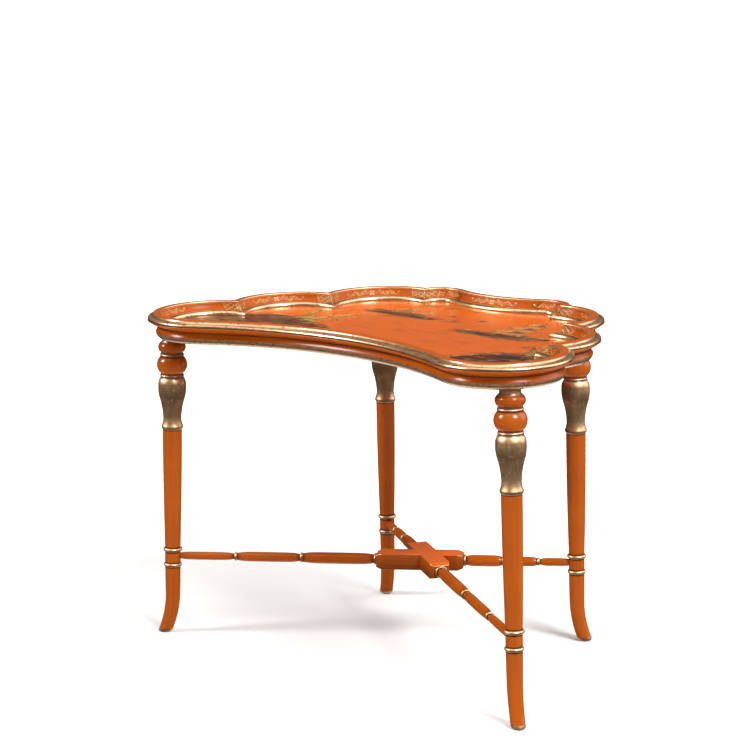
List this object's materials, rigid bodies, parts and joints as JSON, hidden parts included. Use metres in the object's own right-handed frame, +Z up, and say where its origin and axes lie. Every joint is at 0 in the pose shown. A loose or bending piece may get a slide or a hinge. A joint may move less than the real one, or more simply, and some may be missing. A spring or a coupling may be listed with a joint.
{
  "type": "tray top tea table",
  "caption": "Scalloped lacquer tray with a coved, gilt-beaded gallery, lifting off a stand with turned sabre-toed legs and a crossed bamboo-style stretcher.",
  "frame": {"origin": "on the floor under the middle of the tray outline", "axes": "+X along the width to the right, +Y to the double-humped back, +Z up; the concave front looks to -Y"},
  "size_m": [0.921, 0.592, 0.6255],
  "materials": {
    "floor_lacquer": "painted lacquer, satin",
    "red_lacquer": "painted lacquer, satin",
    "orange_lacquer": "antiqued lacquer, satin",
    "gilding": "antiqued gilding over wood",
    "bare_beech": "bare wood, inside joints",
    "steel": "plain steel"
  },
  "bodies": {
    "stand": {"frame_front_rail": "red_lacquer", "frame_end_left": "red_lacquer", "frame_end_right": "red_lacquer", "frame_scallop_outer_left": "red_lacquer", "frame_scallop_outer_right": "red_lacquer", "frame_scallop_inner_left": "red_lacquer", "frame_scallop_inner_right": "red_lacquer", "frame_back_bow": "red_lacquer", "apron_bead": "gilding", "leg_front_left": "orange_lacquer", "stretcher_bar_front_left": "orange_lacquer", "leg_front_right": "orange_lacquer", "stretcher_bar_front_right": "orange_lacquer", "leg_back_left": "orange_lacquer", "stretcher_bar_back_left": "orange_lacquer", "leg_back_right": "orange_lacquer", "stretcher_bar_back_right": "orange_lacquer", "stretcher_block_long": "orange_lacquer", "stretcher_block_cross": "orange_lacquer", "frame_keys": "bare_beech", "stretcher_screw": "steel", "foot_glides": "steel"},
    "tray": {"tray_floor": "floor_lacquer", "tray_front_rail": "red_lacquer", "tray_end_left": "red_lacquer", "tray_end_right": "red_lacquer", "tray_scallop_outer_left": "red_lacquer", "tray_scallop_outer_right": "red_lacquer", "tray_scallop_inner_left": "red_lacquer", "tray_scallop_inner_right": "red_lacquer", "tray_back_bow": "red_lacquer", "rim_bead": "gilding", "floor_bead": "gilding", "tray_screws": "steel"}
  },
  "joints": [
    {"name": "tray_lift", "type": "slide", "parent": "stand", "child": "tray", "axis": [0, 0, 1], "range_m": [0, 0.12]}
  ]
}
